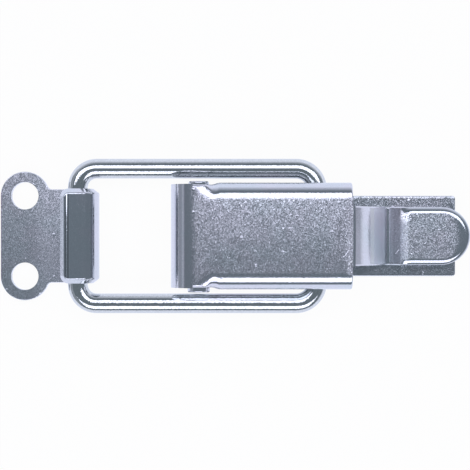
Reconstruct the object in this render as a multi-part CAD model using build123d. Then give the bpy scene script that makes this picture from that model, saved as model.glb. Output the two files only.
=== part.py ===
"""Over centre toggle latch: keeper plate, wire bail, folded lever, base plate and pivot rivet.

Frame: +X runs from the keeper to the lever's finger tab, +Z leaves the mounting plane (z = 0), and the origin is
the middle of the base plate's two screw holes on that plane. Millimetres. The latch is drawn shut.
Inside each function x is counted from the pivot's axis, and place() moves the piece to the origin's frame.
"""

from math import acos, asin, atan, cos, degrees, hypot, radians, sin, sqrt, tan
import os

from build123d import *

# --- driving dimensions: stock -------------------------------------------------------------------
PLATE_T = 1.5                # sheet of the keeper and the base
LEVER_T = 1.2                # sheet of the lever
WIRE_D = 3.2                 # round wire of the bail
PIN_D = 2.6                  # shank of the pivot rivet
SCREW_HOLE_D = 4.5           # all four screw holes
EDGE_R = 0.25                # tumbled edges of the lever and the rivet's heads
PLATE_EDGE_R = 0.12          # upper edges of the keeper and the base, nearly as sheared

# --- driving dimensions: linkage ------------------------------------------------------------------
PIVOT_Z = 5.2                # height of the lever's pivot
BAIL_PIVOT_X = 19.2          # the bail's bar in the lever, beyond the pivot
BAIL_SPAN = 38.9             # between the bail's two bars
BAIL_LEFT_R = 3.1            # centre-line bend of the bail at the keeper
BAIL_RIGHT_R = 3.4           # centre-line bend of the bail at the lever
WIRE_END_GAP = 0.5           # between the two ends of the wire, inside the lever

# --- driving dimensions: keeper -------------------------------------------------------------------
HOOK_R = 3.5                 # outside of the hook's bend
HOOK_LEG = 2.6               # flat of the hook past the bend
HOOK_CORNER_R = 1.4          # plan corners of the hook's tip
HOOK_BEVEL_W = 0.72          # bevelled upper edge of the hook's tip, seen from above
HOOK_BEVEL_H = 0.95          # its height
HOOK_ROLL_R = 0.35           # rounding between the bevel and the hook's top
KEEPER_HOLES_BACK = 8.9      # from the hook's bend to the screw holes
KEEPER_HOLES_Y = 13.2        # between the two screw holes
LOBE_R = 3.95                # round lobes about the screw holes
LOBE_FILLET_R = 0.9          # hollow between a lobe and the neck

# --- driving dimensions: lever --------------------------------------------------------------------
NOSE_R = 4.48                # outside of the nose, rolled about the pivot
NOSE_WRAP = 95.0             # degrees that the nose is rolled through
NOSE_OVERHANG = 0.1          # of the nose past each side wall
NOSE_SEAM = 0.15             # between the nose and the lever's side walls
SEAM_PAST = 5.0              # degrees that the seam runs past the nose's end
NOSE_CORNER_R = 0.5
PIVOT_HALF_W = 8.2           # outside of the side walls at the pivot
CHANNEL_SPREAD = 0.35        # the channel's side walls stand this much wider than at the pivot
WEB_LEVEL_HALF_W = 0.6       # level middle of the web
WEB_CROWN_R = 150.0          # the web is crowned across, on both sides of its level middle
PIVOT_BEND_R = 0.45          # outside of the sharp fold at the pivot
CHANNEL_BEND_R = 2.6         # outside of the soft fold of the channel
SHOULDER_FROM_X = -0.85      # from the pivot, where a shoulder starts to grow beside the sharp fold
SHOULDER_L = 2.6             # over which it grows
SHOULDER_ANGLE = 21.0        # slope at which the shoulder meets the fold
SHOULDER_R = 6.8             # of the shoulder beside the sharp fold
CHANNEL_SHOULDER_R = 3.2     # of the shoulder beside the soft fold
FOLD_OPEN_FROM_X = 1.0       # from the pivot, where the sharp fold starts to open into the soft one
FOLD_OPEN_L = 1.9            # over which it opens
SPREAD_FROM_X = 1.9          # where the side walls start to spread, past the rivet's heads
SPREAD_L = 1.6               # over which they spread
WALL_CORNER_R = 2.2          # lower right corner of the side walls
CHANNEL_PAST_BAR = 5.4       # from the bail's bar to the end of the channel
TAB_HALF_W = 4.75
TAB_BEND_SETBACK = 0.4       # the web turns down into the tab this far before the channel's end
TAB_CURVES = ((1.3, 40.0), (30.0, 48.5), (6.0, 57.0))  # radii down the tab, each with the slope it ends at
TAB_ROOT_R = 0.45            # hollow corners between the tab and the channel's end
TAB_VALLEY_R = 0.5
TAB_RAMP_ANGLE = 50.0        # how steeply it rises again
TAB_CREST_R = 2.3
PAD_Z = 5.4                  # top of the finger pad
PAD_FLAT_HALF_W = 3.6        # flat of the pad, inside its rolled rim
PAD_ROLL = 48.0              # degrees that the rim rolls down
TAB_L = 19.4                 # from the channel's end to the end of the finger pad

# --- driving dimensions: base plate ---------------------------------------------------------------
BASE_INSET = 0.17            # the plate's sides lie this far inside the ears' outer faces
BASE_LEFT_X = 2.5            # end of the plate under the lever's nose
BASE_END_LAND = 5.45         # from the screw hole under the finger pad to the plate's end
BASE_CORNER_R = 0.5
BASE_HOLE_X = 10.5           # screw hole between the ears
BASE_HOLE_SPACING = 26.0     # to the screw hole under the finger pad
EAR_R = 2.5                  # round top of the ears about the pivot
EAR_FOOT_L = 7.1             # length of the ears' foot
EAR_BEND_R = 1.8             # outside of the fold between plate and ear
EAR_NECK_ANGLE = -48.0       # where the ear's front edge meets its round top
EAR_RELIEF = 0.6             # notch between an ear's fold and the plate's side

# --- driving dimensions: rivet --------------------------------------------------------------------
HEAD_D = 3.6                 # made head
HEAD_T = 0.8
CLENCH_D = 3.3               # clenched head
CLENCH_T = 0.55

# --- clearances -----------------------------------------------------------------------------------
PIN_FIT = 0.05               # radial, rivet in the lever's walls
PIN_GRIP = 0.01              # radial, rivet in the ears
BAR_FIT = 0.45               # radial, wire in the lever's walls, so that the wire's bends pass
SIDE_PLAY = 0.25             # between each ear and the lever's wall
HEAD_PLAY = 0.08             # between each head and the lever's wall
BAIL_PLAY = 0.27             # between the made head and the bail's side wire
HOOK_PLAY = 0.2              # between each side of the hook and the start of the bail's bends
REST_GAP = 0.05              # between the shut lever's tab and the base plate

# --- worked out -----------------------------------------------------------------------------------
BAIL_Z = HOOK_R
BAIL_HALF_W = PIVOT_HALF_W + HEAD_PLAY + HEAD_T + BAIL_PLAY + WIRE_D / 2
NECK_W = 2 * (BAIL_HALF_W - BAIL_LEFT_R - HOOK_PLAY)
NOSE_HALF_W = PIVOT_HALF_W + NOSE_OVERHANG
CHANNEL_HALF_W = PIVOT_HALF_W + CHANNEL_SPREAD
LEVER_TOP_Z = PIVOT_Z + NOSE_R
WALL_BOTTOM_Z = PIVOT_Z - NOSE_R
TRANSITION_L = SPREAD_FROM_X + SPREAD_L
HOOK_X = BAIL_PIVOT_X - BAIL_SPAN
CHANNEL_END_X = BAIL_PIVOT_X + CHANNEL_PAST_BAR
TAB_BEND_X = CHANNEL_END_X - TAB_BEND_SETBACK
TAB_END_X = CHANNEL_END_X + TAB_L
ORIGIN_X = BASE_HOLE_X + BASE_HOLE_SPACING / 2
EAR_OUTER_Y = PIVOT_HALF_W - LEVER_T - SIDE_PLAY
BASE_W = 2 * (EAR_OUTER_Y - BASE_INSET)
BASE_RIGHT_X = BASE_HOLE_X + BASE_HOLE_SPACING + BASE_END_LAND

# --- for building the shapes ----------------------------------------------------------------------
TRANSITION_STEPS = 10        # sections along the opening fold
FLAT_R = 2000.0              # stands for a web without a crown
FLAT_ANGLE = 1.5             # stands for a fold without a shoulder
ROLL_FROM_SHARE = 0.4        # of the ramp and crest, where the tab is level across and its rim starts to roll
LOFT_STEPS = 9               # sections along the ramp and crest
INNER_BEND_R = 0.1           # inside of a fold that is sharper than the sheet's thickness
NEAR = 0.01                  # for finding edges by their place


def place(piece):
    """From the pivot's x to the origin's frame."""
    return Pos(-ORIGIN_X, 0, 0) * piece


def xz_face(*curves):
    """Face in the XZ plane from curves whose points are (x, 0, z)."""
    return make_face(Wire(list(curves)))


def slab_y(face, half_width):
    """Extrudes a face of the XZ plane both ways along Y."""
    return extrude(face, amount=half_width, dir=(0, 1, 0), both=True)


def cross_rod(x, z, radius, half_length):
    """Cylinder along Y."""
    return Pos(x, 0, z) * Rot(90, 0, 0) * Cylinder(radius, 2 * half_length)


def fillet_where(piece, radius, test):
    """Fillets the edges that pass the test."""
    return fillet([edge for edge in piece.edges() if test(edge)], radius)


# --- keeper plate ---------------------------------------------------------------------------------
def keeper_outline():
    """Plate with two lobes and a neck, seen from above."""
    hole_x = HOOK_X - KEEPER_HOLES_BACK
    half = KEEPER_HOLES_Y / 2
    lobes = [Pos(hole_x, side * half) * Circle(LOBE_R) for side in (-1, 1)]
    back = Pos(hole_x - LOBE_R / 2, 0) * Rectangle(LOBE_R, 2 * half)
    neck_l = HOOK_X - hole_x
    neck = Pos(hole_x + neck_l / 2, 0) * Rectangle(neck_l, NECK_W)
    outline = back + neck + lobes[0] + lobes[1]
    corner_x = hole_x + sqrt(LOBE_R**2 - (NECK_W / 2 - half) ** 2)
    corners = [v for v in outline.vertices() if abs(v.X - corner_x) < NEAR]
    return fillet(corners, LOBE_FILLET_R)


def hook_profile():
    """Bend and leg of the hook in the XZ plane."""
    inner_r = HOOK_R - PLATE_T
    top = 2 * HOOK_R
    tip = HOOK_X - HOOK_LEG
    right = HOOK_X + HOOK_R
    outer = ThreePointArc((HOOK_X, 0, 0), (right, 0, HOOK_R), (HOOK_X, 0, top))
    inner = ThreePointArc((HOOK_X, 0, top - PLATE_T), (HOOK_X + inner_r, 0, HOOK_R), (HOOK_X, 0, PLATE_T))
    leg = Polyline((HOOK_X, 0, top), (tip, 0, top), (tip, 0, top - PLATE_T), (HOOK_X, 0, top - PLATE_T))
    return xz_face(outer, *leg.edges(), inner, Line((HOOK_X, 0, PLATE_T), (HOOK_X, 0, 0)))


def hook():
    """Half-round hook, with the corners of its tip rounded and its upper edge bevelled."""
    tip = HOOK_X - HOOK_LEG
    piece = slab_y(hook_profile(), NECK_W / 2)
    piece = fillet_where(
        piece,
        HOOK_CORNER_R,
        lambda e: abs(e.center().X - tip) < NEAR and abs(e.center().Y) > NECK_W / 2 - NEAR,
    )
    top = max(piece.faces().filter_by(GeomType.PLANE), key=lambda face: face.center().Z)
    rim = [e for e in top.edges() if e.center().X < HOOK_X - NEAR]
    piece = chamfer(rim, HOOK_BEVEL_W, HOOK_BEVEL_H, reference=top)
    return fillet_where(
        piece,
        HOOK_ROLL_R,
        lambda e: abs(e.center().Z - 2 * HOOK_R) < NEAR and e.center().X < HOOK_X - NEAR,
    )


def keeper_plate():
    plate = extrude(keeper_outline(), amount=PLATE_T)
    rim = [e for e in plate.edges() if e.center().X < HOOK_X - NEAR and abs(e.center().Z - PLATE_T) < NEAR]
    plate = fillet(rim, PLATE_EDGE_R)
    piece = plate + hook()
    hole_x = HOOK_X - KEEPER_HOLES_BACK
    for side in (-1, 1):
        piece -= Pos(hole_x, side * KEEPER_HOLES_Y / 2, PLATE_T / 2) * Cylinder(SCREW_HOLE_D / 2, 2 * PLATE_T)
    return piece


# --- wire bail ------------------------------------------------------------------------------------
def wire_bail():
    """One wire bent to a rectangle, with its two ends facing each other inside the lever."""
    left = BAIL_PIVOT_X - BAIL_SPAN
    end_y = WIRE_END_GAP / 2
    route = FilletPolyline(
        (BAIL_PIVOT_X, end_y, BAIL_Z),
        (BAIL_PIVOT_X, BAIL_HALF_W, BAIL_Z),
        (left, BAIL_HALF_W, BAIL_Z),
        (left, -BAIL_HALF_W, BAIL_Z),
        (BAIL_PIVOT_X, -BAIL_HALF_W, BAIL_Z),
        (BAIL_PIVOT_X, -end_y, BAIL_Z),
        radius=[BAIL_RIGHT_R, BAIL_LEFT_R, BAIL_LEFT_R, BAIL_RIGHT_R],
    )
    start = Plane(origin=(BAIL_PIVOT_X, end_y, BAIL_Z), z_dir=(0, 1, 0))
    return sweep(start * Circle(WIRE_D / 2), path=route)


# --- lever ----------------------------------------------------------------------------------------
def smooth_step(share):
    """S curve from 0 to 1, flat at both ends."""
    share = min(1.0, max(0.0, share))
    return share * share * (3 - 2 * share)


def between(start, end, share):
    return start + share * (end - start)


def web_heights(x):
    """Heights of the web's top, its underside and the side walls' lower edge, all round by the nose."""
    if x >= 0:
        return LEVER_TOP_Z, LEVER_TOP_Z - LEVER_T, WALL_BOTTOM_Z
    outer = sqrt(NOSE_R**2 - x**2)
    inner = sqrt((NOSE_R - LEVER_T) ** 2 - x**2)
    return PIVOT_Z + outer, PIVOT_Z + inner, PIVOT_Z - outer


def fold_skin(x, half_w, top, radii, shoulder_angle):
    """Points along one skin of the fold in the plane at x, from the web's level middle to the +Y wall.

    Three arcs, each given by its start, middle and end: the crown, the shoulder and the corner, in the
    order of the radii. They meet smoothly, and the corner ends on the side wall at half_w.
    """
    crown_r, shoulder_r, corner_r = radii
    slope = sin(radians(shoulder_angle))
    reach = half_w - WEB_LEVEL_HALF_W - shoulder_r * slope - corner_r * (1 - slope)
    ends = (asin(reach / (crown_r - shoulder_r)), radians(shoulder_angle), radians(90))
    start, y, z = 0.0, WEB_LEVEL_HALF_W, top
    arcs = []
    for radius, end in zip(radii, ends):
        steps = (start, (start + end) / 2, end)
        arc = [(x, y + radius * (sin(a) - sin(start)), z + radius * (cos(a) - cos(start))) for a in steps]
        arcs.append(arc)
        start, y, z = end, arc[-1][1], arc[-1][2]
    return arcs


def channel_section(x):
    """Folded section in the plane at x. The fold's inside keeps the sheet's thickness where it can."""
    top, under, low = web_heights(x)
    half_w = between(PIVOT_HALF_W, CHANNEL_HALF_W, smooth_step((x - SPREAD_FROM_X) / SPREAD_L))
    opening = smooth_step((x - FOLD_OPEN_FROM_X) / FOLD_OPEN_L)
    growth = smooth_step((x - SHOULDER_FROM_X) / SHOULDER_L)
    crowning = smooth_step((x - SHOULDER_FROM_X) / (TRANSITION_L - SHOULDER_FROM_X))
    crown_r = 1 / between(1 / FLAT_R, 1 / WEB_CROWN_R, crowning)
    shoulder_r = between(SHOULDER_R, CHANNEL_SHOULDER_R, opening)
    corner_r = between(PIVOT_BEND_R, CHANNEL_BEND_R, opening)
    drop = growth * (1 - cos(radians(SHOULDER_ANGLE)))
    shoulder_angle = max(FLAT_ANGLE, degrees(acos(1 - drop)))
    inner_radii = (crown_r - LEVER_T, shoulder_r - LEVER_T, max(corner_r - LEVER_T, INNER_BEND_R))
    outer = fold_skin(x, half_w, top, (crown_r, shoulder_r, corner_r), shoulder_angle)
    inner = fold_skin(x, half_w - LEVER_T, under, inner_radii, shoulder_angle)
    edges = [Line(skin[0][0], opposite(skin[0][0])) for skin in (outer, inner)]
    for arc in outer + inner:
        edges.append(ThreePointArc(*arc))
        edges.append(ThreePointArc(*[opposite(point) for point in arc]))
    wall = [outer[-1][-1], (x, half_w, low), (x, half_w - LEVER_T, low), inner[-1][-1]]
    for start, end in zip(wall, wall[1:]):
        edges.append(Line(start, end))
        edges.append(Line(opposite(start), opposite(end)))
    return make_face(Wire(edges))


def opposite(point):
    """The point on the other side of the centre plane."""
    x, y, z = point
    return x, -y, z


def channel():
    """Straight channel with soft folds, cut square at its end."""
    piece = extrude(channel_section(TRANSITION_L), amount=CHANNEL_END_X - TRANSITION_L, dir=(1, 0, 0))
    piece = fillet_where(
        piece,
        WALL_CORNER_R,
        lambda e: abs(e.center().X - CHANNEL_END_X) < NEAR and abs(e.center().Z - WALL_BOTTOM_Z) < NEAR,
    )
    return fillet_where(piece, EDGE_R, is_channel_mouth)


def is_channel_mouth(edge):
    """Outer edge of the channel's open end."""
    at = edge.center()
    rim = CHANNEL_BEND_R / 2
    outside = abs(at.Y) > CHANNEL_HALF_W - rim or at.Z > LEVER_TOP_Z - rim
    return abs(at.X - CHANNEL_END_X) < NEAR and outside and edge.length > 2 * LEVER_T


def transition():
    """The sharp fold at the pivot opens into the channel's soft fold in an S curve, then the walls spread."""
    run = TRANSITION_L - SHOULDER_FROM_X
    stations = [SHOULDER_FROM_X + run * step / TRANSITION_STEPS for step in range(TRANSITION_STEPS + 1)]
    return loft([channel_section(x) for x in stations])


def pie(radius, start, sweep_angle, half_width):
    """Sector of a disc about the pivot, extruded along Y. Angles in degrees from +X towards +Z."""
    middle = start + sweep_angle / 2
    points = [
        (radius * cos(radians(a)), 0, PIVOT_Z + radius * sin(radians(a)))
        for a in (start, middle, start + sweep_angle)
    ]
    centre = (0, 0, PIVOT_Z)
    face = xz_face(Line(centre, points[0]), ThreePointArc(*points), Line(points[2], centre))
    return slab_y(face, half_width)


def nose():
    """The web's end, rolled down about the pivot, as far back as the transition."""
    piece = pie(NOSE_R, 90, NOSE_WRAP, NOSE_HALF_W)
    piece -= cross_rod(0, PIVOT_Z, NOSE_R - LEVER_T, 2 * NOSE_HALF_W)
    piece -= behind(SHOULDER_FROM_X)
    end = radians(90 + NOSE_WRAP)
    middle = NOSE_R - LEVER_T / 2
    end_x = middle * cos(end)
    end_z = PIVOT_Z + middle * sin(end)
    return fillet_where(
        piece,
        NOSE_CORNER_R,
        lambda e: abs(e.center().X - end_x) < NEAR
        and abs(e.center().Z - end_z) < NEAR
        and abs(e.center().Y) > NOSE_HALF_W - NEAR,
    )


def behind(x):
    """All of the lever's room on the channel's side of the plane at x."""
    reach = 4 * NOSE_R
    return Pos(x + reach / 2, 0, PIVOT_Z) * Box(reach, reach, reach)


def pivot_walls():
    """Side walls ahead of the transition: they clear the nose behind its seam and are round below it."""
    radius = PIVOT_Z - WALL_BOTTOM_Z
    disc = pie(radius, 90, 180, PIVOT_HALF_W)
    disc -= Box(4 * radius, 2 * (PIVOT_HALF_W - LEVER_T), 4 * radius + 2 * PIVOT_Z)
    seam = pie(2 * radius, 90, NOSE_WRAP + SEAM_PAST, 2 * PIVOT_HALF_W)
    seam -= cross_rod(0, PIVOT_Z, NOSE_R - LEVER_T - NOSE_SEAM, 4 * PIVOT_HALF_W)
    return disc - seam - behind(SHOULDER_FROM_X)


def crown_roll():
    """Angle at which the crown ends, where the tab's rounded edge starts."""
    half_w = TAB_HALF_W - WEB_LEVEL_HALF_W
    return degrees(asin(half_w / hypot(WEB_CROWN_R, EDGE_R)) - atan(EDGE_R / WEB_CROWN_R))


def tab_curves():
    """The arcs in the centre plane along which the tab turns down, each as its start, middle and end."""
    x, z, slope = TAB_BEND_X, LEVER_TOP_Z, 0.0
    arcs = []
    for radius, steeper in TAB_CURVES:
        arc = []
        for angle in (slope, (slope + steeper) / 2, steeper):
            run = radius * (sin(radians(angle)) - sin(radians(slope)))
            fall = radius * (cos(radians(slope)) - cos(radians(angle)))
            arc.append((x + run, 0, z - fall))
        arcs.append(arc)
        x, z, slope = arc[-1][0], arc[-1][2], steeper
    return arcs


def tab_marks():
    """Points (x, z) of the tab's upper line where its bends start and end, from the web to the pad."""
    drop = radians(TAB_CURVES[-1][1])
    rise = radians(TAB_RAMP_ANGLE)
    crown_fall = (TAB_HALF_W - WEB_LEVEL_HALF_W) * tan(radians(crown_roll() / 2))
    valley_z = PLATE_T + REST_GAP + LEVER_T + crown_fall
    x1, _, z1 = tab_curves()[-1][-1]
    z2 = valley_z + TAB_VALLEY_R * (1 - cos(drop))
    x2 = x1 + (z1 - z2) / tan(drop)
    x_low = x2 + TAB_VALLEY_R * sin(drop)
    x3 = x_low + TAB_VALLEY_R * sin(rise)
    z3 = valley_z + TAB_VALLEY_R * (1 - cos(rise))
    z4 = PAD_Z - TAB_CREST_R * (1 - cos(rise))
    x4 = x3 + (z4 - z3) / tan(rise)
    x5 = x4 + TAB_CREST_R * sin(rise)
    return {
        "wall_top": (x1, z1),
        "wall_foot": (x2, z2),
        "valley": (x_low, valley_z),
        "ramp_foot": (x3, z3),
        "ramp_top": (x4, z4),
        "pad": (x5, PAD_Z),
    }


def crowned_strip(plane, half_w):
    """Square-sided section across the web's crown."""
    edges, ends = [], []
    for depth in (0, LEVER_T):
        radius = WEB_CROWN_R - depth
        reach = asin((half_w - WEB_LEVEL_HALF_W) / radius)
        for side in (-1, 1):
            arc = []
            for angle in (0, reach / 2, reach):
                y = side * (WEB_LEVEL_HALF_W + radius * sin(angle))
                arc.append(plane.from_local_coords((y, -depth - radius * (1 - cos(angle)), 0)))
            edges.append(ThreePointArc(*arc))
            ends.append(arc)
    for first, second, at in ((0, 1, 0), (2, 3, 0), (0, 2, -1), (1, 3, -1)):
        edges.append(Line(ends[first][at], ends[second][at]))
    return make_face(Wire(edges))


def tab_bend(half_w, curves):
    """Where the web turns down, over this many of the tab's curves, with square sides."""
    start = tab_plane((TAB_BEND_X, LEVER_TOP_Z), 0)
    path = Wire([ThreePointArc(*arc) for arc in tab_curves()[:curves]])
    return sweep(crowned_strip(start, half_w), path=path)


def tab_root():
    """Hollow corners that join the tab's sides to the channel's end."""
    band = tab_bend(TAB_HALF_W + TAB_ROOT_R, curves=2)
    corners = Sketch()
    for side in (-1, 1):
        middle = Pos(CHANNEL_END_X + TAB_ROOT_R / 2, side * (TAB_HALF_W + TAB_ROOT_R / 2))
        centre = Pos(CHANNEL_END_X + TAB_ROOT_R, side * (TAB_HALF_W + TAB_ROOT_R))
        corners += middle * Rectangle(TAB_ROOT_R, TAB_ROOT_R) - centre * Circle(TAB_ROOT_R)
    return band & extrude(corners, amount=2 * LEVER_TOP_Z)


def tab_plane(point, angle):
    """Plane across the tab, which climbs at this angle: x is the latch's Y, y the sheet's outward normal."""
    tilt = radians(angle)
    return Plane(origin=(point[0], 0, point[1]), x_dir=(0, 1, 0), z_dir=(cos(tilt), 0, sin(tilt)))


def strip_side(plane, flat, roll_deg, side):
    """One side of the tab's section: the rolled rim and its rounded edge, from the upper to the lower flat."""
    roll = radians(roll_deg)
    run = TAB_HALF_W - flat - EDGE_R * cos(roll)
    corner = EDGE_R * sqrt(0.5)

    def at(y, depth, out=0.0, along=0.0):
        y += out * sin(roll) + along * cos(roll)
        n = -depth + out * cos(roll) - along * sin(roll)
        return plane.from_local_coords((side * y, n, 0))

    end_y = flat + run
    fall = run * tan(roll / 2)
    end_top = at(end_y, fall)
    end_low = at(end_y, fall, out=-LEVER_T)
    big = run / sin(roll)
    small = big - LEVER_T
    half = roll / 2
    upper = ThreePointArc(at(flat, 0), at(flat + big * sin(half), big * (1 - cos(half))), end_top)
    under_middle = at(flat + small * sin(half), LEVER_T + small * (1 - cos(half)))
    under = ThreePointArc(end_low, under_middle, at(flat, LEVER_T))
    rim_top = at(end_y, fall, out=-EDGE_R, along=EDGE_R)
    rim_low = at(end_y, fall, out=EDGE_R - LEVER_T, along=EDGE_R)
    top_middle = at(end_y, fall, out=corner - EDGE_R, along=corner)
    low_middle = at(end_y, fall, out=EDGE_R - LEVER_T - corner, along=corner)
    return [
        upper,
        ThreePointArc(end_top, top_middle, rim_top),
        Line(rim_top, rim_low),
        ThreePointArc(rim_low, low_middle, end_low),
        under,
    ]


def strip_section(plane, flat, roll_deg):
    """Whole section of the tab: a level middle of this half width, and sides that roll down to this angle."""
    edges = strip_side(plane, flat, roll_deg, 1) + strip_side(plane, flat, roll_deg, -1)
    for depth in (0, LEVER_T):
        ends = [plane.from_local_coords((side * flat, -depth, 0)) for side in (-1, 1)]
        edges.append(Line(*ends))
    return make_face(Wire(edges))


def pad_end():
    """Half-round end of the finger pad, with the rim rolled all round it."""
    centre_x = TAB_END_X - TAB_HALF_W
    plane = tab_plane((centre_x, PAD_Z), 0)
    flat = PAD_FLAT_HALF_W
    middle = [(-flat, 0, 0), (0, 0, 0), (0, -LEVER_T, 0), (-flat, -LEVER_T, 0)]
    corners = [plane.from_local_coords(point) for point in middle]
    edges = strip_side(plane, flat, PAD_ROLL, -1) + list(Polyline(*corners).edges())
    half = make_face(Wire(edges))
    return revolve(half, axis=Axis((centre_x, 0, 0), (0, 0, 1)), revolution_arc=180)


def tab_strip():
    """The tab below the bend: down the wall, round the valley, up the ramp and over to the pad."""
    marks = tab_marks()
    valley = (marks["valley"][0], 0, marks["valley"][1])
    top = (marks["wall_top"][0], 0, marks["wall_top"][1])
    foot = (marks["wall_foot"][0], 0, marks["wall_foot"][1])
    rise = (marks["ramp_foot"][0], 0, marks["ramp_foot"][1])
    bend, *curves = tab_curves()
    arcs = [ThreePointArc(*arc) for arc in curves]
    route = Wire([*arcs, Line(top, foot), ThreePointArc(foot, valley, rise)])
    start = tab_plane((bend[-1][0], bend[-1][2]), -TAB_CURVES[0][1])
    section = strip_section(start, WEB_LEVEL_HALF_W, crown_roll())
    piece = sweep(section, path=route)
    piece += loft(ramp_sections(marks))
    pad = strip_section(tab_plane(marks["pad"], 0), PAD_FLAT_HALF_W, PAD_ROLL)
    piece += extrude(pad, amount=TAB_END_X - TAB_HALF_W - marks["pad"][0], dir=(1, 0, 0))
    return piece + pad_end()


def ramp_sections(marks):
    """Sections up the ramp and over the crest, the rim rolling down as they go."""
    x3, z3 = marks["ramp_foot"]
    x4, z4 = marks["ramp_top"]
    rise = radians(TAB_RAMP_ANGLE)
    ramp_l = (x4 - x3) / cos(rise)
    crest_l = TAB_CREST_R * rise
    sections = []
    for step in range(LOFT_STEPS + 1):
        share = step / LOFT_STEPS
        run = (ramp_l + crest_l) * share
        if run <= ramp_l:
            point = (x3 + run * cos(rise), z3 + run * sin(rise))
            angle = rise
        else:
            angle = rise - (run - ramp_l) / TAB_CREST_R
            point = (
                x4 + TAB_CREST_R * (sin(rise) - sin(angle)),
                z4 + TAB_CREST_R * (cos(angle) - cos(rise)),
            )
        flat = between(WEB_LEVEL_HALF_W, PAD_FLAT_HALF_W, smooth_step(share / ROLL_FROM_SHARE))
        roll = between(crown_roll(), PAD_ROLL, smooth_step((share - ROLL_FROM_SHARE) / (1 - ROLL_FROM_SHARE)))
        sections.append(strip_section(tab_plane(point, degrees(angle)), flat, roll))
    return sections


def lever():
    """One folded sheet: nose, side walls, channel and finger tab."""
    body = channel() + transition() + nose() + pivot_walls()
    over_x = CHANNEL_END_X - TAB_BEND_X
    slot = Pos(TAB_BEND_X + over_x, 0, LEVER_TOP_Z) * Box(2 * over_x, 2 * TAB_HALF_W, 4 * LEVER_T)
    body = body - slot + tab_bend(TAB_HALF_W, curves=1) + tab_root() + tab_strip()
    body -= cross_rod(0, PIVOT_Z, PIN_D / 2 + PIN_FIT, 2 * PIVOT_HALF_W)
    body -= cross_rod(BAIL_PIVOT_X, BAIL_Z, WIRE_D / 2 + BAR_FIT, 2 * CHANNEL_HALF_W)
    return body


# --- base plate -----------------------------------------------------------------------------------
def ear_profile():
    """Ear seen from the side, as a thick slab: a round top on a foot that leans back from the nose."""
    foot_right = BASE_LEFT_X + EAR_FOOT_L
    neck = radians(EAR_NECK_ANGLE)
    neck_point = (EAR_R * cos(neck), 0, PIVOT_Z + EAR_R * sin(neck))
    run = foot_right
    rise = EAR_BEND_R - PIVOT_Z
    reach = sqrt(run * run + rise * rise)
    tangent = asin(rise / reach) + asin(sqrt(1 - (EAR_R / reach) ** 2))
    top_point = (EAR_R * cos(tangent), 0, PIVOT_Z + EAR_R * sin(tangent))
    leg = Polyline(
        (0, 0, PIVOT_Z),
        neck_point,
        (BASE_LEFT_X, 0, EAR_BEND_R),
        (BASE_LEFT_X, 0, 0),
        (foot_right, 0, 0),
        (foot_right, 0, EAR_BEND_R),
        top_point,
        close=True,
    )
    reach_y = 2 * EAR_OUTER_Y
    return slab_y(make_face(leg), reach_y) + cross_rod(0, PIVOT_Z, EAR_R, reach_y)


def ear(side):
    """One ear folded up from the plate's edge."""
    inner_r = EAR_BEND_R - PLATE_T
    centre_y = EAR_OUTER_Y - EAR_BEND_R
    top = PIVOT_Z + EAR_R
    outer_mid = EAR_BEND_R * sqrt(0.5)
    inner_mid = inner_r * sqrt(0.5)
    left = -2 * EAR_R

    def at(y, z):
        return (left, side * y, z)

    fold = make_face(
        Wire(
            [
                ThreePointArc(
                    at(centre_y, 0),
                    at(centre_y + outer_mid, EAR_BEND_R - outer_mid),
                    at(EAR_OUTER_Y, EAR_BEND_R),
                ),
                Line(at(EAR_OUTER_Y, EAR_BEND_R), at(EAR_OUTER_Y, top)),
                Line(at(EAR_OUTER_Y, top), at(EAR_OUTER_Y - PLATE_T, top)),
                Line(at(EAR_OUTER_Y - PLATE_T, top), at(EAR_OUTER_Y - PLATE_T, EAR_BEND_R)),
                ThreePointArc(
                    at(EAR_OUTER_Y - PLATE_T, EAR_BEND_R),
                    at(centre_y + inner_mid, EAR_BEND_R - inner_mid),
                    at(centre_y, PLATE_T),
                ),
                Line(at(centre_y, PLATE_T), at(centre_y, 0)),
            ]
        )
    )
    strip = extrude(fold, amount=BASE_LEFT_X + EAR_FOOT_L - left, dir=(1, 0, 0))
    return strip & ear_profile()


def base_plate():
    """Screw plate with two ears folded up beside the pivot."""
    foot_right = BASE_LEFT_X + EAR_FOOT_L
    tongue_w = 2 * (EAR_OUTER_Y - EAR_BEND_R)
    wide_left = foot_right + EAR_RELIEF
    wide_l = BASE_RIGHT_X - wide_left
    plate = Pos(wide_left + wide_l / 2, 0, PLATE_T / 2) * Box(wide_l, BASE_W, PLATE_T)
    plate = fillet_where(
        plate,
        BASE_CORNER_R,
        lambda e: abs(e.center().X - BASE_RIGHT_X) < NEAR and abs(e.center().Y) > BASE_W / 2 - NEAR,
    )
    rim = [
        e
        for e in plate.edges()
        if abs(e.center().Z - PLATE_T) < NEAR and e.center().X > wide_left + NEAR
    ]
    plate = fillet(rim, PLATE_EDGE_R)
    tongue_l = wide_left - BASE_LEFT_X
    piece = plate + Pos(BASE_LEFT_X + tongue_l / 2, 0, PLATE_T / 2) * Box(tongue_l, tongue_w, PLATE_T)
    piece = piece + ear(1) + ear(-1)
    piece -= cross_rod(0, PIVOT_Z, PIN_D / 2 + PIN_GRIP, 2 * EAR_OUTER_Y)
    for x in (BASE_HOLE_X, BASE_HOLE_X + BASE_HOLE_SPACING):
        piece -= Pos(x, 0, PLATE_T / 2) * Cylinder(SCREW_HOLE_D / 2, 2 * PLATE_T)
    return piece


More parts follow.
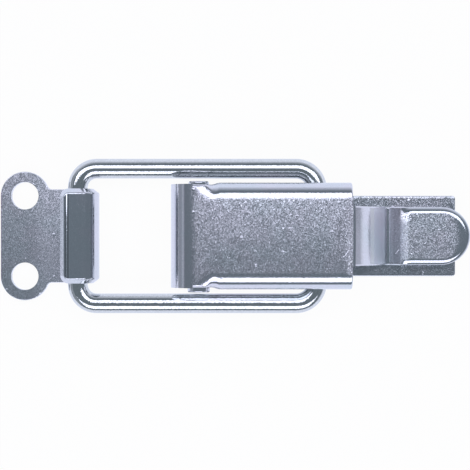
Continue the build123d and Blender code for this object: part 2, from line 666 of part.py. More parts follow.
# --- rivet ----------------------------------------------------------------------------------------
def pivot_rivet():
    """Rivet with a made head on one side and a clenched head on the other."""
    face_y = PIVOT_HALF_W + HEAD_PLAY
    shank = cross_rod(0, PIVOT_Z, PIN_D / 2, face_y + min(HEAD_T, CLENCH_T) / 2)
    head = Pos(0, -face_y - HEAD_T / 2, PIVOT_Z) * Rot(90, 0, 0) * Cylinder(HEAD_D / 2, HEAD_T)
    head = fillet_where(head, EDGE_R, lambda e: abs(e.center().Y + face_y + HEAD_T) < NEAR)
    clench = Pos(0, face_y + CLENCH_T / 2, PIVOT_Z) * Rot(90, 0, 0) * Cylinder(CLENCH_D / 2, CLENCH_T)
    clench = fillet_where(clench, EDGE_R, lambda e: abs(e.center().Y - face_y - CLENCH_T) < NEAR)
    return shank + head + clench


NODES = {
    "keeper_plate": keeper_plate,
    "wire_bail": wire_bail,
    "lever": lever,
    "base_plate": base_plate,
    "pivot_rivet": pivot_rivet,
}


def main():
    os.makedirs("parts", exist_ok=True)
    for name, build in NODES.items():
        piece = place(build())
        export_step(piece, f"parts/{name}.step")
        box = piece.bounding_box()
        reach = f"{box.min.X:.2f}..{box.max.X:.2f}, z {box.min.Z:.2f}..{box.max.Z:.2f}"
        print(f"{name}: {piece.volume:.1f} mm3, {reach}")


if __name__ == "__main__":
    main()
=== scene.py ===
"""Over centre toggle latch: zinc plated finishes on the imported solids, on a plain pale studio floor."""

from collections import namedtuple
from math import atan2, cos, hypot, pi, radians, sin, tan

import bpy
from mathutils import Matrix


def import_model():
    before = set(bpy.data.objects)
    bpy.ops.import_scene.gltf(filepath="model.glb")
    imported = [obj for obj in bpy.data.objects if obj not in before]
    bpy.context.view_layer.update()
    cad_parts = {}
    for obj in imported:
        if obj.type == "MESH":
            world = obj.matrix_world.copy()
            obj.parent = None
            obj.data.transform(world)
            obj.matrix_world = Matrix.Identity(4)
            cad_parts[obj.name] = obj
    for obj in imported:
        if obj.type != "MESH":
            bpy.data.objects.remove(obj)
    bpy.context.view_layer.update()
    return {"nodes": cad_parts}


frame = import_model()

bl_info = {
    "name": "Toggle latch finishes",
    "version": (1, 0, 0),
    "blender": (4, 5, 0),
    "location": "3D View > Sidebar > Latch",
    "description": "Zinc plated finishes, stage and camera for an over centre toggle latch",
    "category": "Object",
}

MM = 0.001  # one millimetre, in metres

# --- zinc plate -----------------------------------------------------------------------------------
MIDDLE = 0.5  # middle of what noise and the cells' colours give, between 0 and 1
PATCH_SIZE = 6.0  # size of the patches of the two tints, in mm
PATCH_DETAIL = 3.0  # how ragged the patches are
PATCH_EDGE = (0.35, 0.65)  # noise levels between which one tint turns into the other
MOTTLE_SIZE = 0.3  # size of the fine changes in roughness, in mm
MOTTLE_DETAIL = 2.0  # how ragged they are
MOTTLE_DEPTH = 0.08  # change in roughness from the lowest to the highest
FOLD_LEAN = 0.12  # lean of the facets on folds, beside those on the flats
WIRE_LEAN = 0.30  # lean of the facets on the wire, beside those on the flats
GLINT_CHANCE = (0.90, 0.92)  # facets past this chance get a painted glint
GLINT_LIGHT = 1.25  # how light a painted glint is
NICK_CHANCE = (0.86, 0.88)  # places past this chance have a nick
NICK_REACH = 0.27  # radius of a nick, beside the nicks' spacing
NICK_SOFT = 0.03  # softness of its rim, beside the nicks' spacing
NICK_LEAN = 0.40  # lean of its wall at the rim

# --- pitted bands ---------------------------------------------------------------------------------
# Where a band begins and ends along X and how softly, all in mm; then its roughness, how far its facets lean
# and how light its colour is painted, the last two beside the usual. On the lever's nose line, bend, drop,
# ramp and crest, that painted lightness stands in for highlight, reflection and shade.
Band = namedtuple("Band", "start start_soft end end_soft roughness lean light")
KEEPER_BANDS = (
    Band(-60.0, 0.3, -50.0, 1.5, roughness=0.25, lean=0.50, light=0.95),  # plate round the screw holes
    Band(-50.0, 1.5, -45.75, 0.06, roughness=0.27, lean=0.50, light=1.10),  # plate up to the hook's tip
    Band(-45.75, 0.06, -45.03, 0.06, roughness=0.18, lean=0.30, light=0.84),  # bevelled edge of the tip
)
LEVER_BANDS = (
    Band(-26.12, 0.04, -25.94, 0.04, roughness=0.12, lean=0.12, light=1.34),  # fine smooth line along the nose, painted lighter as a highlight
    Band(-24.25, 0.7, 0.3, 0.4, roughness=0.31, lean=1.0, light=0.98),  # web
    Band(0.3, 0.4, 1.1, 0.3, roughness=0.62, lean=2.0, light=1.36),  # bend from the web down into the tab, painted lighter as a highlight
    Band(1.5, 0.15, 2.4, 0.2, roughness=0.15, lean=0.12, light=0.84),  # just under that bend, painted darker as shade
    Band(4.02, 0.12, 4.75, 0.12, roughness=0.60, lean=0.0, light=1.34),  # end of the drop's long curve, painted lighter as a reflection
    Band(4.75, 0.12, 6.9, 0.3, roughness=0.60, lean=0.0, light=1.28),  # foot of the drop, painted lighter as a reflection
    Band(7.6, 0.3, 9.2, 0.3, roughness=0.55, lean=0.6, light=0.66),  # ramp up from the valley, painted darker as shade
    Band(9.2, 0.3, 10.3, 0.3, roughness=0.58, lean=1.0, light=1.42),  # crest, painted lighter as a highlight
    Band(10.3, 0.3, 18.45, 0.9, roughness=0.31, lean=1.1, light=1.05),  # finger pad
)
BASE_BANDS = (
    Band(-22.0, 0.3, 60.0, 0.3, roughness=0.22, lean=0.75, light=0.94),  # plate behind the ears
)
FLAT_TILT = (0.06, 0.2)  # tilt across the latch up to which a face is flat, and from which it is a fold
PAD_FROM = 10.0  # X where the finger pad begins, in mm
PAD_ROUNDING = 0.011  # how fast the pad's pitted part narrows to its rounded end, a share per square mm

# --- marks ----------------------------------------------------------------------------------------
LINE_SOFT = 0.05  # softness of the edges of creases, rolled edges and scratches, in mm
LEVEL_Z = (0.98, 0.995)  # Z of a face's normal from which it is level enough for a crease or a rolled edge
UPPER_Z = (0.5, 0.6)  # Z of a face's normal from which it looks up enough for a scratch

ROLL_Y = (6.20, 6.42)  # from the base plate's middle, where it rolls down to its sheared sides, in mm
ROLL_LEAN = 0.092  # how far it leans there

# Crease along Y with a bright, leaning middle and sides painted darker as shade: its X, half the width of its
# middle and of the whole, how light its sides are painted, two places along Y, and how its middle leans at
# each.
# Lengths are in mm.
Crease = namedtuple("Crease", "x half whole_half side_light places leans")
HOOK_CREASE = Crease(
    x=-44.64,
    half=0.08,
    whole_half=0.33,
    side_light=0.55,
    places=(3.0, 7.0),
    leans=(0.070, 0.15),
)

# Scratch on the lever: X and Y of its two ends in mm, and how its walls lean along X and Y.
Scratch = namedtuple("Scratch", "start end lean")
SCRATCHES = (
    Scratch((8.40, -2.91), (8.92, -2.22), lean=(0.70, 0.14)),  # on the ramp
    Scratch((-0.47, -3.34), (0.64, -2.07), lean=(0.0, 0.15)),  # at the web's end
    Scratch((-0.15, 0.02), (0.80, 0.95), lean=(0.0, 0.13)),  # at the web's end, in the middle
)
SCRATCH_HALF = 0.06  # half the width of a scratch, in mm
SCRATCH_SMOOTHING = 0.30  # how much smoother it is

DENT_AT = (9.6, 3.3, 5.2)  # soft dent beside the tab's crest, in mm
DENT_R = 1.7  # its reach, in mm
DENT_BOTTOM = 0.1  # share of its reach over which it is deepest
DENT_SMOOTHING = 0.3  # how much smoother it is
DENT_LEAN = (0.50, 0.24, 0.0)  # lean in its middle

# --- camera, lamps and floor ----------------------------------------------------------------------
CAMERA_PLACE = (-17.64, 0.16)  # X and Y of the camera, in mm
SENSOR_WIDTH = 36.0  # width of the camera's sensor, in mm
CAMERA_REACH = (0.01, 20.0)  # nearest and farthest that it sees, in metres

# Level strip lamp along X: the angles from straight up at which it begins and ends, seen from the latch, in
# degrees, its side of the latch along Y, and its length in metres.
Lamp = namedtuple("Lamp", "begins ends side length")
BACK_LAMP = Lamp(begins=10, ends=36, side=1, length=0.56)
FRONT_LAMP = Lamp(begins=33, ends=65, side=-1, length=0.60)
LAMP_X = -18.0  # middle of both lamps, in mm
LAMP_COLOUR = (0.84, 0.85, 1.0)

FLOOR_HALF = 3.0  # from the floor's middle to its sides, in metres
FLOOR_Z = -0.02  # just under the latch, in mm
FLOOR_GLOW = 0.95  # share of the floor's look that doesn't depend on the lamps
FLOOR_IN_METAL = (0.90, 0.95, 1.12)  # the floor's colour as the metal mirrors it
FLOOR_END_IN_METAL = (0.25, 0.27, 0.31)  # and past the end of the pale sheet
FLOOR_END_X = (-0.16, -0.20)  # where the pale sheet ends beyond the keeper, in metres

# --- hood -----------------------------------------------------------------------------------------
HOOD_R = 0.9  # in metres
HOOD_ROWS = 12
HOOD_COLUMNS = 48
HOOD_LOWEST = 0.5  # angle over the floor at which it starts, in degrees
HOOD_LIGHT = (0.97, 1.0, 1.18)  # light colour that its patches have a share of

# Light patch low on the hood: the heights between which it fades out, how much of the light colour it has
# below them, and the places along X or Y between which it grows. Heights and places are shares of the radius.
HoodPatch = namedtuple("HoodPatch", "heights light places")
BACK_PATCH = HoodPatch(heights=(0.0, 0.55), light=0.8, places=(0.2, 0.8))
FRONT_PATCH = HoodPatch(heights=(0.02, 0.07), light=0.85, places=(-0.4, -0.8))
LEFT_PATCH = HoodPatch(heights=(0.3, 0.34), light=0.16, places=(-0.5, -0.8))
RIGHT_PATCH = HoodPatch(heights=(0.12, 0.22), light=0.45, places=(0.6, 0.85))
STRIPE_HEIGHTS = (0.36, 0.46)  # stripe over the left patch
STRIPE_SOFT = 0.03  # softness of its edges
STRIPE_LIGHT = 0.34  # its share of the light colour
RIGHT_DIM_Y = (0.03, 0.01)  # the right patch is dim past the first of these and full up to the second
RIGHT_DIM = 0.6  # how light it is where it is dim, beside the rest of it


# --- settings -------------------------------------------------------------------------------------
class LatchFinish(bpy.types.PropertyGroup):
    """Finish of the latch's pieces"""

    plate_tint: bpy.props.FloatVectorProperty(
        name="Plate tint",
        description="Colour that the zinc plate gives to what it reflects",
        subtype="COLOR",
        size=3,
        min=0.0,
        max=1.0,
        default=(0.745, 0.74, 0.79),
    )
    plate_tint_cool: bpy.props.FloatVectorProperty(
        name="Cool patches",
        description="Greyer, bluer patches of the zinc plate",
        subtype="COLOR",
        size=3,
        min=0.0,
        max=1.0,
        default=(0.70, 0.735, 0.77),
    )
    wire_tint: bpy.props.FloatVectorProperty(
        name="Wire tint",
        description="Colour that the wire's plate gives to what it reflects",
        subtype="COLOR",
        size=3,
        min=0.0,
        max=1.0,
        default=(0.745, 0.765, 0.765),
    )
    fold_roughness: bpy.props.FloatProperty(
        name="Fold roughness",
        description="Roughness where the sheet was ironed smooth by folding",
        default=0.12,
        min=0.0,
        max=1.0,
    )
    wire_roughness: bpy.props.FloatProperty(
        name="Wire roughness",
        description="Roughness of the drawn wire",
        default=0.05,
        min=0.0,
        max=1.0,
    )
    grain_size: bpy.props.FloatProperty(
        name="Grain size",
        description="Size of the facets that pitting leaves on the flats",
        default=0.00013,
        unit="LENGTH",
        min=0.00005,
        max=0.002,
    )
    grain_lean: bpy.props.FloatProperty(
        name="Grain lean",
        description="How far the facets lean, as a slope",
        default=0.095,
        min=0.0,
        max=1.0,
    )
    grain_shade: bpy.props.FloatProperty(
        name="Grain shade",
        description="How much darker the darkest facets are",
        default=0.50,
        min=0.0,
        max=1.0,
    )
    nick_spacing: bpy.props.FloatProperty(
        name="Nick spacing",
        description="Usual distance between places for a nick, of which only a few have one",
        default=0.0011,
        unit="LENGTH",
        min=0.0002,
        max=0.02,
    )


class LatchStage(bpy.types.PropertyGroup):
    """Floor, hood, lamps and camera round the latch"""

    floor_colour: bpy.props.FloatVectorProperty(
        name="Floor",
        description="Colour of the floor",
        subtype="COLOR",
        size=3,
        min=0.0,
        max=1.0,
        default=(0.96, 0.96, 0.96),
    )
    hood_colour: bpy.props.FloatVectorProperty(
        name="Hood",
        description="Colour of the dark hood that the polished metal mirrors",
        subtype="COLOR",
        size=3,
        min=0.0,
        max=1.0,
        default=(0.172, 0.205, 0.240),
    )
    camera_height: bpy.props.FloatProperty(
        name="Camera height",
        description="Height of the camera over the mounting plane",
        default=0.2495,
        unit="LENGTH",
        min=0.05,
        max=2.0,
    )
    camera_angle: bpy.props.FloatProperty(
        name="Camera angle",
        description="Width of the camera's view",
        default=radians(17.66),
        subtype="ANGLE",
        min=radians(2),
        max=radians(90),
    )
    lamp_height: bpy.props.FloatProperty(
        name="Lamp height",
        description="Height of both strip lamps",
        default=0.30,
        unit="LENGTH",
        min=0.1,
        max=2.0,
    )
    lamp_radiance: bpy.props.FloatProperty(
        name="Lamp radiance",
        description="Brightness of the strip lamps' faces",
        default=2.0,
        min=0.0,
        max=20.0,
    )
    fill: bpy.props.FloatProperty(
        name="Fill",
        description="Strength of the light from all round",
        default=0.4,
        min=0.0,
        max=2.0,
    )


# --- nodes ----------------------------------------------------------------------------------------
class Nodes:
    """Adds nodes to one node tree. Each value is a socket to link from, or plain numbers."""

    def __init__(self, tree):
        self.tree = tree
        tree.nodes.clear()

    def add(self, kind, **values):
        """Node of this kind."""
        node = self.tree.nodes.new(kind)
        for name, value in values.items():
            setattr(node, name, value)
        return node

    def put(self, socket, value):
        """Gives a node's socket its value."""
        if isinstance(value, bpy.types.NodeSocket):
            self.tree.links.new(value, socket)
        else:
            socket.default_value = value

    def math(self, operation, a, b=0.0):
        """One operation on one or two values."""
        node = self.add("ShaderNodeMath", operation=operation)
        self.put(node.inputs[0], a)
        self.put(node.inputs[1], b)
        return node.outputs[0]

    def product(self, first, *others):
        """All the values multiplied."""
        for other in others:
            first = self.math("MULTIPLY", first, other)
        return first

    def highest(self, first, *others):
        """The highest of the values."""
        for other in others:
            first = self.math("MAXIMUM", first, other)
        return first

    def vector(self, operation, a, b):
        """One operation on two vectors."""
        node = self.add("ShaderNodeVectorMath", operation=operation)
        self.put(node.inputs[0], a)
        self.put(node.inputs[1], b)
        return node.outputs[0]

    def scaled(self, vector, scale):
        """The vector, this many times as long."""
        node = self.add("ShaderNodeVectorMath", operation="SCALE")
        self.put(node.inputs[0], vector)
        self.put(node.inputs["Scale"], scale)
        return node.outputs[0]

    def length(self, vector):
        """Length of the vector."""
        node = self.add("ShaderNodeVectorMath", operation="LENGTH")
        self.put(node.inputs[0], vector)
        return node.outputs["Value"]

    def parts(self, vector):
        """X, Y and Z of the vector."""
        node = self.add("ShaderNodeSeparateXYZ")
        self.put(node.inputs[0], vector)
        return node.outputs

    def along_y(self, value):
        """Vector along Y of this length."""
        node = self.add("ShaderNodeCombineXYZ")
        self.put(node.inputs["Y"], value)
        return node.outputs[0]

    def span(self, value, low, high, to_low=0.0, to_high=1.0, smooth=True):
        """to_low where the value is low, to_high where it is high, and a slope between them."""
        node = self.add("ShaderNodeMapRange", interpolation_type="SMOOTHSTEP" if smooth else "LINEAR")
        for socket, number in zip(node.inputs, (value, low, high, to_low, to_high)):
            self.put(socket, number)
        return node.outputs[0]

    def window(self, value, low, low_soft, high, high_soft):
        """1 between low and high, 0 outside, with soft ends."""
        rise = self.span(value, low - low_soft, low + low_soft)
        fall = self.span(value, high - high_soft, high + high_soft, 1.0, 0.0)
        return self.product(rise, fall)

    def mix(self, share, a, b):
        """Colour a where the share is 0, and colour b where it is 1."""
        node = self.add("ShaderNodeMix", data_type="RGBA")
        self.put(node.inputs["Factor"], share)
        colour_sockets = [socket for socket in node.inputs if socket.type == "RGBA"]
        for socket, colour in zip(colour_sockets, (a, b)):
            self.put(socket, colour if isinstance(colour, bpy.types.NodeSocket) else (*colour, 1.0))
        return next(socket for socket in node.outputs if socket.type == "RGBA")

    def blend(self, share, a, b):
        """Shader a where the share is 0, and shader b where it is 1."""
        node = self.add("ShaderNodeMixShader")
        for socket, value in zip(node.inputs, (share, a, b)):
            self.put(socket, value)
        return node.outputs[0]

    def noise(self, place, size, detail):
        """Soft noise whose patches have this size."""
        node = self.add("ShaderNodeTexNoise")
        self.put(node.inputs["Vector"], place)
        self.put(node.inputs["Scale"], 1 / size)
        self.put(node.inputs["Detail"], detail)
        return node.outputs["Fac"]

    def cells(self, place, size):
        """Cells of this size, each with its own colour."""
        node = self.add("ShaderNodeTexVoronoi")
        self.put(node.inputs["Vector"], place)
        self.put(node.inputs["Scale"], 1 / size)
        return node.outputs


def new_material(name):
    """Empty material, and its nodes."""
    material = bpy.data.materials.new(name)
    material.use_nodes = True
    return material, Nodes(material.node_tree)


def seen_share(nodes, path):
    """1 for what is seen straight, mirrored or through glass, 0 for light on its way to other things."""
    return nodes.highest(path["Is Camera Ray"], path["Is Glossy Ray"], path["Is Transmission Ray"])


# --- zinc plate's grain ---------------------------------------------------------------------------
def facets(nodes, place, finish):
    """How far the pits' facets lean, and how light they are, with a few painted glints."""
    grain = nodes.cells(place, finish.grain_size)
    lean = nodes.vector("SUBTRACT", grain["Color"], (MIDDLE, MIDDLE, MIDDLE))
    lean = nodes.scaled(lean, finish.grain_lean / MIDDLE)
    chance = nodes.parts(grain["Color"])["Z"]
    light = nodes.span(chance, 0.0, 1.0, 1 - finish.grain_shade, 1.0, smooth=False)
    # a few facets are painted lighter as glints
    glint = nodes.span(chance, *GLINT_CHANCE, 0.0, GLINT_LIGHT)
    return lean, nodes.highest(light, glint)


def nicks(nodes, place, finish):
    """A few deeper round nicks: how far their walls lean."""
    cells = nodes.cells(place, finish.nick_spacing)
    chosen = nodes.span(nodes.parts(cells["Color"])["X"], *NICK_CHANCE)
    inside = nodes.span(cells["Distance"], NICK_REACH - NICK_SOFT, NICK_REACH + NICK_SOFT, 1.0, 0.0)
    offset = nodes.vector("SUBTRACT", place, cells["Position"])
    steepness = NICK_LEAN / (NICK_REACH * finish.nick_spacing)
    return nodes.scaled(offset, nodes.product(inside, chosen, steepness))


def band_place(nodes, place):
    """X of each point, which grows towards the edges of the pad's rounded end."""
    where = nodes.parts(place)
    past = nodes.highest(nodes.math("SUBTRACT", where["X"], PAD_FROM * MM), 0.0)
    spread = nodes.product(where["Y"], where["Y"], PAD_ROUNDING / MM**2)
    return nodes.math("ADD", where["X"], nodes.product(past, spread))


def flat_share(nodes, normal):
    """1 where a face is level across the latch, 0 on the long folds."""
    tilt = nodes.math("ABSOLUTE", nodes.parts(normal)["Y"])
    return nodes.span(tilt, *FLAT_TILT, 1.0, 0.0)


def banded(nodes, place, normal, bands, rough, roughness, lean):
    """Takes the folds' roughness and their facets' lean over to those of each band on the flats, and paints
    each band's colour lighter or darker.
    """
    x = band_place(nodes, place)
    flat = flat_share(nodes, normal)
    lean_share, light = lean, 1.0
    for band in bands:
        reach = (band.start * MM, band.start_soft * MM, band.end * MM, band.end_soft * MM)
        share = nodes.product(flat, nodes.window(x, *reach))
        rough = nodes.math("ADD", rough, nodes.product(share, band.roughness - roughness))
        lean_share = nodes.math("ADD", lean_share, nodes.product(share, band.lean - lean))
        # each band's colour is painted lighter or darker; on the lever this is painted highlight, reflection
        # and shade
        light = nodes.math("ADD", light, nodes.product(share, band.light - 1.0))
    return rough, lean_share, light


# --- marks on the plate ---------------------------------------------------------------------------
def dent(nodes, place):
    """Soft dent on the lever's tab: how deep it is, and how far it leans."""
    offset = nodes.vector("SUBTRACT", place, [value * MM for value in DENT_AT])
    depth = nodes.span(nodes.length(offset), DENT_BOTTOM * DENT_R * MM, DENT_R * MM, 1.0, 0.0)
    return depth, nodes.scaled(DENT_LEAN, depth)


def rolled_edges(nodes, place, normal):
    """Sides of the base plate, rolled down a little by the shears: how far they lean."""
    y = nodes.parts(place)["Y"]
    level = nodes.span(nodes.parts(normal)["Z"], *LEVEL_Z)
    low, high = ROLL_Y
    soft = LINE_SOFT * MM
    near = nodes.window(nodes.math("ABSOLUTE", y), low * MM, soft, high * MM, soft)
    return nodes.along_y(nodes.product(near, ROLL_LEAN, nodes.math("SIGN", y), level))


def crease_line(nodes, place, normal, crease):
    """Crease along a fold: how far it leans, and how light it is, with its sides painted darker as shade."""
    x, half, whole_half = crease.x, crease.half, crease.whole_half
    where = nodes.parts(place)
    level = nodes.span(nodes.parts(normal)["Z"], *LEVEL_Z)
    soft = LINE_SOFT * MM
    middle = nodes.window(where["X"], (x - half) * MM, soft, (x + half) * MM, soft)
    whole = nodes.window(where["X"], (x - whole_half) * MM, soft, (x + whole_half) * MM, soft)
    first, last = crease.places
    lean = nodes.span(where["Y"], first * MM, last * MM, *crease.leans, smooth=False)
    # the crease's sides are painted darker, a painted shade
    sides = nodes.product(nodes.math("SUBTRACT", whole, middle), level)
    light = nodes.span(sides, 0.0, 1.0, 1.0, crease.side_light, smooth=False)
    return nodes.along_y(nodes.product(middle, level, lean)), light


def scratch_line(nodes, place, normal, scratch):
    """Straight scratch on an upper face: where it is, and how far its walls lean."""
    (x0, y0), (x1, y1) = scratch.start, scratch.end
    turn = atan2(y1 - y0, x1 - x0)
    first = x0 * cos(turn) + y0 * sin(turn)
    last = first + hypot(x1 - x0, y1 - y0)
    side = y0 * cos(turn) - x0 * sin(turn)
    where = nodes.parts(place)
    x, y = where["X"], where["Y"]
    along = nodes.math("ADD", nodes.product(x, cos(turn)), nodes.product(y, sin(turn)))
    across = nodes.math("SUBTRACT", nodes.product(y, cos(turn)), nodes.product(x, sin(turn)))
    soft = LINE_SOFT * MM
    long = nodes.window(along, first * MM, soft, last * MM, soft)
    narrow = nodes.window(across, (side - SCRATCH_HALF) * MM, soft, (side + SCRATCH_HALF) * MM, soft)
    upper = nodes.span(nodes.parts(normal)["Z"], *UPPER_Z)
    share = nodes.product(long, narrow, upper)
    return share, nodes.scaled((*scratch.lean, 0.0), share)


# --- metals ---------------------------------------------------------------------------------------
def plated_steel(
    name,
    finish,
    tints,
    roughness,
    lean,
    bands=(),
    crease=None,
    scratches=(),
    dented=False,
    rolled=False,
):
    """Zinc plated steel: smooth where it was folded or drawn, pitted and nicked in these bands, with painted
    glints, painted highlight and shade in the bands, and painted shade beside a crease.
    """
    material, nodes = new_material(name)
    where = nodes.add("ShaderNodeTexCoord").outputs
    place, normal = where["Object"], where["Normal"]
    mottle = nodes.math("SUBTRACT", nodes.noise(place, MOTTLE_SIZE * MM, MOTTLE_DETAIL), MIDDLE)
    rough = nodes.math("ADD", nodes.product(mottle, MOTTLE_DEPTH), roughness)
    slope, facet_light = facets(nodes, place, finish)
    lean_share, light = lean, 1.0
    if bands:
        rough, lean_share, light = banded(nodes, place, normal, bands, rough, roughness, lean)
        slope = nodes.vector("ADD", slope, nicks(nodes, place, finish))
    slope = nodes.scaled(slope, lean_share)
    if dented:
        depth, mark_lean = dent(nodes, place)
        slope = nodes.vector("ADD", slope, mark_lean)
        rough = nodes.math("SUBTRACT", rough, nodes.product(depth, DENT_SMOOTHING))
    if rolled:
        slope = nodes.vector("ADD", slope, rolled_edges(nodes, place, normal))
    for scratch in scratches:
        share, mark_lean = scratch_line(nodes, place, normal, scratch)
        slope = nodes.vector("ADD", slope, mark_lean)
        rough = nodes.math("SUBTRACT", rough, nodes.product(share, SCRATCH_SMOOTHING))
    if crease:
        mark_lean, painted_crease_shade = crease_line(nodes, place, normal, crease)
        slope = nodes.vector("ADD", slope, mark_lean)
        light = nodes.product(light, painted_crease_shade)
    turned = nodes.add("ShaderNodeVectorTransform", vector_type="NORMAL")
    turned.convert_from = "OBJECT"
    turned.convert_to = "WORLD"
    nodes.put(turned.inputs[0], nodes.vector("ADD", normal, slope))
    patches = nodes.span(nodes.noise(place, PATCH_SIZE * MM, PATCH_DETAIL), *PATCH_EDGE)
    colour = nodes.mix(patches, *tints)
    # colour gets the bands' painted highlight and shade, the crease's painted shade, the grain and the
    # painted glints
    shade = nodes.product(light, nodes.math("POWER", facet_light, lean_share))
    metal = nodes.add("ShaderNodeBsdfPrincipled")
    nodes.put(metal.inputs["Metallic"], 1.0)
    nodes.put(metal.inputs["Base Color"], nodes.scaled(colour, shade))
    nodes.put(metal.inputs["Roughness"], rough)
    nodes.put(metal.inputs["Normal"], turned.outputs[0])
    output = nodes.add("ShaderNodeOutputMaterial")
    nodes.put(output.inputs["Surface"], metal.outputs[0])
    return material


def bright_zinc(name, finish, **details):
    """Finish of the sheets and the rivet."""
    tints = (finish.plate_tint, finish.plate_tint_cool)
    return plated_steel(name, finish, tints, finish.fold_roughness, FOLD_LEAN, **details)


def wire_zinc(name, finish):
    """Finish of the wire: drawn smooth all over, so it has no bands."""
    tints = (finish.wire_tint, finish.wire_tint)
    return plated_steel(name, finish, tints, finish.wire_roughness, WIRE_LEAN)


def dress(node, material):
    """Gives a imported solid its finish."""
    for slot in frame["nodes"][node].material_slots:
        slot.material = material


# --- stage ----------------------------------------------------------------------------------------
def make_object(name, vertices, faces):
    """New object of the stage, in the scene."""
    mesh = bpy.data.meshes.new(name)
    mesh.from_pydata(vertices, [], faces)
    mesh.update()
    piece = bpy.data.objects.new(name, mesh)
    bpy.context.scene.collection.objects.link(piece)
    return piece


def floor_paint(settings):
    """Pale paint that looks even and keeps a share of the latch's shadow."""
    material, nodes = new_material("floor_paint")
    paint = nodes.add("ShaderNodeBsdfDiffuse")
    nodes.put(paint.inputs["Color"], (*settings.floor_colour, 1.0))
    path = nodes.add("ShaderNodeLightPath").outputs
    x = nodes.parts(nodes.add("ShaderNodeTexCoord").outputs["Object"])["X"]
    mirrored = nodes.mix(nodes.span(x, *FLOOR_END_X), FLOOR_IN_METAL, FLOOR_END_IN_METAL)
    glow = nodes.add("ShaderNodeEmission")
    nodes.put(glow.inputs["Color"], nodes.mix(path["Is Glossy Ray"], (1.0, 1.0, 1.0), mirrored))
    glow_share = nodes.product(seen_share(nodes, path), FLOOR_GLOW)
    output = nodes.add("ShaderNodeOutputMaterial")
    nodes.put(output.inputs["Surface"], nodes.blend(glow_share, paint.outputs[0], glow.outputs[0]))
    return material


def floor(settings):
    """Wide pale floor under the latch."""
    corners = ((-1, -1), (1, -1), (1, 1), (-1, 1))
    vertices = [(x * FLOOR_HALF, y * FLOOR_HALF, FLOOR_Z * MM) for x, y in corners]
    piece = make_object("floor", vertices, [(0, 1, 2, 3)])
    piece.data.materials.append(floor_paint(settings))


def world(settings):
    """White backdrop and an even fill."""
    scene = bpy.context.scene
    scene.world = bpy.data.worlds.new("studio")
    scene.world.use_nodes = True
    nodes = Nodes(scene.world.node_tree)
    fill = nodes.add("ShaderNodeBackground")
    nodes.put(fill.inputs["Strength"], settings.fill)
    backdrop = nodes.add("ShaderNodeBackground")
    nodes.put(backdrop.inputs["Color"], (1.0, 1.0, 1.0, 1.0))
    seen = seen_share(nodes, nodes.add("ShaderNodeLightPath").outputs)
    output = nodes.add("ShaderNodeOutputWorld")
    nodes.put(output.inputs["Surface"], nodes.blend(seen, fill.outputs[0], backdrop.outputs[0]))


def hood_mesh():
    """Half a ball over the table, open towards the floor."""
    lowest = radians(HOOD_LOWEST)
    vertices = []
    for row in range(HOOD_ROWS):
        climb = lowest + (pi / 2 - lowest) * row / HOOD_ROWS
        ring_r = HOOD_R * cos(climb)
        z = HOOD_R * sin(climb)
        for column in range(HOOD_COLUMNS):
            turn = 2 * pi * column / HOOD_COLUMNS
            vertices.append((ring_r * cos(turn), ring_r * sin(turn), z))
    top = len(vertices)
    vertices.append((0, 0, HOOD_R))
    faces = []
    for row in range(HOOD_ROWS):
        for column in range(HOOD_COLUMNS):
            here = row * HOOD_COLUMNS + column
            after = row * HOOD_COLUMNS + (column + 1) % HOOD_COLUMNS
            if row == HOOD_ROWS - 1:
                faces.append((here, after, top))
            else:
                faces.append((here, after, after + HOOD_COLUMNS, here + HOOD_COLUMNS))
    return vertices, faces


def patch_light(nodes, height, patch, smooth=True):
    """Share of the light colour that a patch of the hood has at this height."""
    return nodes.span(height, *patch.heights, patch.light, 0.0, smooth=smooth)


def hood_light(nodes):
    """Share of the light colour at each point of the hood, 0 on the dark cloth."""
    where = nodes.parts(nodes.add("ShaderNodeTexCoord").outputs["Object"])
    x, y, height = (nodes.math("DIVIDE", where[axis], HOOD_R) for axis in "XYZ")
    back = patch_light(nodes, height, BACK_PATCH, smooth=False)
    back = nodes.product(back, nodes.span(y, *BACK_PATCH.places))
    front = nodes.product(patch_light(nodes, height, FRONT_PATCH), nodes.span(y, *FRONT_PATCH.places))
    low, high = STRIPE_HEIGHTS
    stripe = nodes.product(nodes.window(height, low, STRIPE_SOFT, high, STRIPE_SOFT), STRIPE_LIGHT)
    left = nodes.highest(patch_light(nodes, height, LEFT_PATCH), stripe)
    left = nodes.product(left, nodes.span(x, *LEFT_PATCH.places))
    dim = nodes.span(y, *RIGHT_DIM_Y, RIGHT_DIM, 1.0)
    right = nodes.product(patch_light(nodes, height, RIGHT_PATCH), dim, nodes.span(x, *RIGHT_PATCH.places))
    return nodes.highest(back, front, left, right)


def hood(settings):
    """Dark hood over the table, seen only in the metal."""
    piece = make_object("hood", *hood_mesh())
    material, nodes = new_material("hood_cloth")
    glow = nodes.add("ShaderNodeEmission")
    nodes.put(glow.inputs["Color"], nodes.mix(hood_light(nodes), settings.hood_colour, HOOD_LIGHT))
    output = nodes.add("ShaderNodeOutputMaterial")
    nodes.put(output.inputs["Surface"], glow.outputs[0])
    piece.data.materials.append(material)
    piece.visible_camera = False
    piece.visible_diffuse = False
    piece.visible_shadow = False


def strip_lamp(name, settings, place):
    """Strip lamp over one side of the latch, as wide as the angles that it spans."""
    height = settings.lamp_height
    near = height * tan(radians(place.begins))
    far = height * tan(radians(place.ends))
    lamp = bpy.data.lights.new(name, "AREA")
    lamp.shape = "RECTANGLE"
    lamp.color = LAMP_COLOUR
    lamp.size = place.length
    lamp.size_y = far - near
    lamp.energy = settings.lamp_radiance * pi * lamp.size * lamp.size_y
    piece = bpy.data.objects.new(name, lamp)
    piece.location = (LAMP_X * MM, place.side * (near + far) / 2, height)
    bpy.context.scene.collection.objects.link(piece)


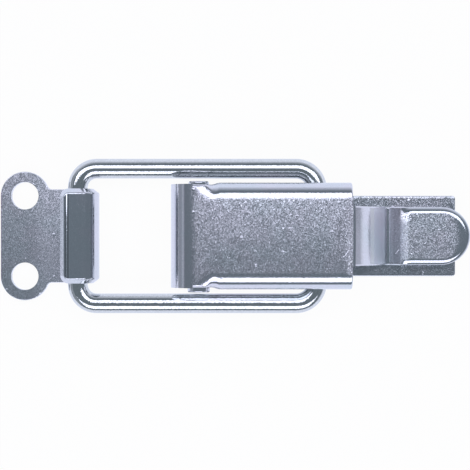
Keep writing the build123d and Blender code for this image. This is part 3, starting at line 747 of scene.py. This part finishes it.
def camera(settings):
    """Straight above the latch."""
    data = bpy.data.cameras.new("camera")
    data.sensor_width = SENSOR_WIDTH
    data.lens = SENSOR_WIDTH / 2 / tan(settings.camera_angle / 2)
    data.clip_start, data.clip_end = CAMERA_REACH
    piece = bpy.data.objects.new("camera", data)
    x, y = CAMERA_PLACE
    piece.location = (x * MM, y * MM, settings.camera_height)
    bpy.context.scene.collection.objects.link(piece)
    bpy.context.scene.camera = piece


# --- operators ------------------------------------------------------------------------------------
class LATCH_OT_keeper_plate(bpy.types.Operator):
    """Finishes the keeper plate: pitted on the plate, smooth on the hook, with painted shade beside the
    hook's crease
    """

    bl_idname = "latch.keeper_plate"
    bl_label = "Keeper plate"

    def execute(self, context):
        finish = context.scene.latch_finish
        dress("keeper_plate", bright_zinc("keeper_zinc", finish, bands=KEEPER_BANDS, crease=HOOK_CREASE))
        return {"FINISHED"}


class LATCH_OT_wire_bail(bpy.types.Operator):
    """Finishes the bail: bright drawn wire"""

    bl_idname = "latch.wire_bail"
    bl_label = "Wire bail"

    def execute(self, context):
        dress("wire_bail", wire_zinc("wire_zinc", context.scene.latch_finish))
        return {"FINISHED"}


class LATCH_OT_lever(bpy.types.Operator):
    """Finishes the lever: pitted flats between smooth folds, painted highlights and shade on the nose and
    tab, three scratches and a dent
    """

    bl_idname = "latch.lever"
    bl_label = "Lever"

    def execute(self, context):
        finish = context.scene.latch_finish
        zinc = bright_zinc("lever_zinc", finish, bands=LEVER_BANDS, scratches=SCRATCHES, dented=True)
        dress("lever", zinc)
        return {"FINISHED"}


class LATCH_OT_base_plate(bpy.types.Operator):
    """Finishes the base plate: pitted on the plate, smooth on the ears, with sheared sides"""

    bl_idname = "latch.base_plate"
    bl_label = "Base plate"

    def execute(self, context):
        finish = context.scene.latch_finish
        dress("base_plate", bright_zinc("base_zinc", finish, bands=BASE_BANDS, rolled=True))
        return {"FINISHED"}


class LATCH_OT_pivot_rivet(bpy.types.Operator):
    """Finishes the pivot rivet: smooth all over"""

    bl_idname = "latch.pivot_rivet"
    bl_label = "Pivot rivet"

    def execute(self, context):
        dress("pivot_rivet", bright_zinc("rivet_zinc", context.scene.latch_finish))
        return {"FINISHED"}


class LATCH_OT_stage(bpy.types.Operator):
    """Makes the floor, the backdrop, the hood, the lamps and the camera"""

    bl_idname = "latch.stage"
    bl_label = "Stage"

    def execute(self, context):
        settings = context.scene.latch_stage
        context.scene.view_settings.view_transform = "Standard"
        floor(settings)
        world(settings)
        hood(settings)
        strip_lamp("lamp_back", settings, BACK_LAMP)
        strip_lamp("lamp_front", settings, FRONT_LAMP)
        camera(settings)
        return {"FINISHED"}


class LATCH_PT_panel(bpy.types.Panel):
    """Lists the latch's settings and operators"""

    bl_idname = "LATCH_PT_panel"
    bl_label = "Toggle latch"
    bl_space_type = "VIEW_3D"
    bl_region_type = "UI"
    bl_category = "Latch"

    def draw(self, context):
        for settings in (context.scene.latch_finish, context.scene.latch_stage):
            for name in settings.bl_rna.properties.keys():
                if name not in {"name", "rna_type"}:
                    self.layout.prop(settings, name)
        for operator in OPERATORS:
            self.layout.operator(operator.bl_idname)


OPERATORS = (
    LATCH_OT_keeper_plate,
    LATCH_OT_wire_bail,
    LATCH_OT_lever,
    LATCH_OT_base_plate,
    LATCH_OT_pivot_rivet,
    LATCH_OT_stage,
)
CLASSES = (LatchFinish, LatchStage, *OPERATORS, LATCH_PT_panel)


def register():
    for cls in CLASSES:
        bpy.utils.register_class(cls)
    bpy.types.Scene.latch_finish = bpy.props.PointerProperty(type=LatchFinish)
    bpy.types.Scene.latch_stage = bpy.props.PointerProperty(type=LatchStage)


def unregister():
    del bpy.types.Scene.latch_stage
    del bpy.types.Scene.latch_finish
    for cls in reversed(CLASSES):
        bpy.utils.unregister_class(cls)


def main():
    register()
    bpy.ops.latch.keeper_plate()
    bpy.ops.latch.wire_bail()
    bpy.ops.latch.lever()
    bpy.ops.latch.base_plate()
    bpy.ops.latch.pivot_rivet()
    bpy.ops.latch.stage()


if __name__ == "__main__":
    main()
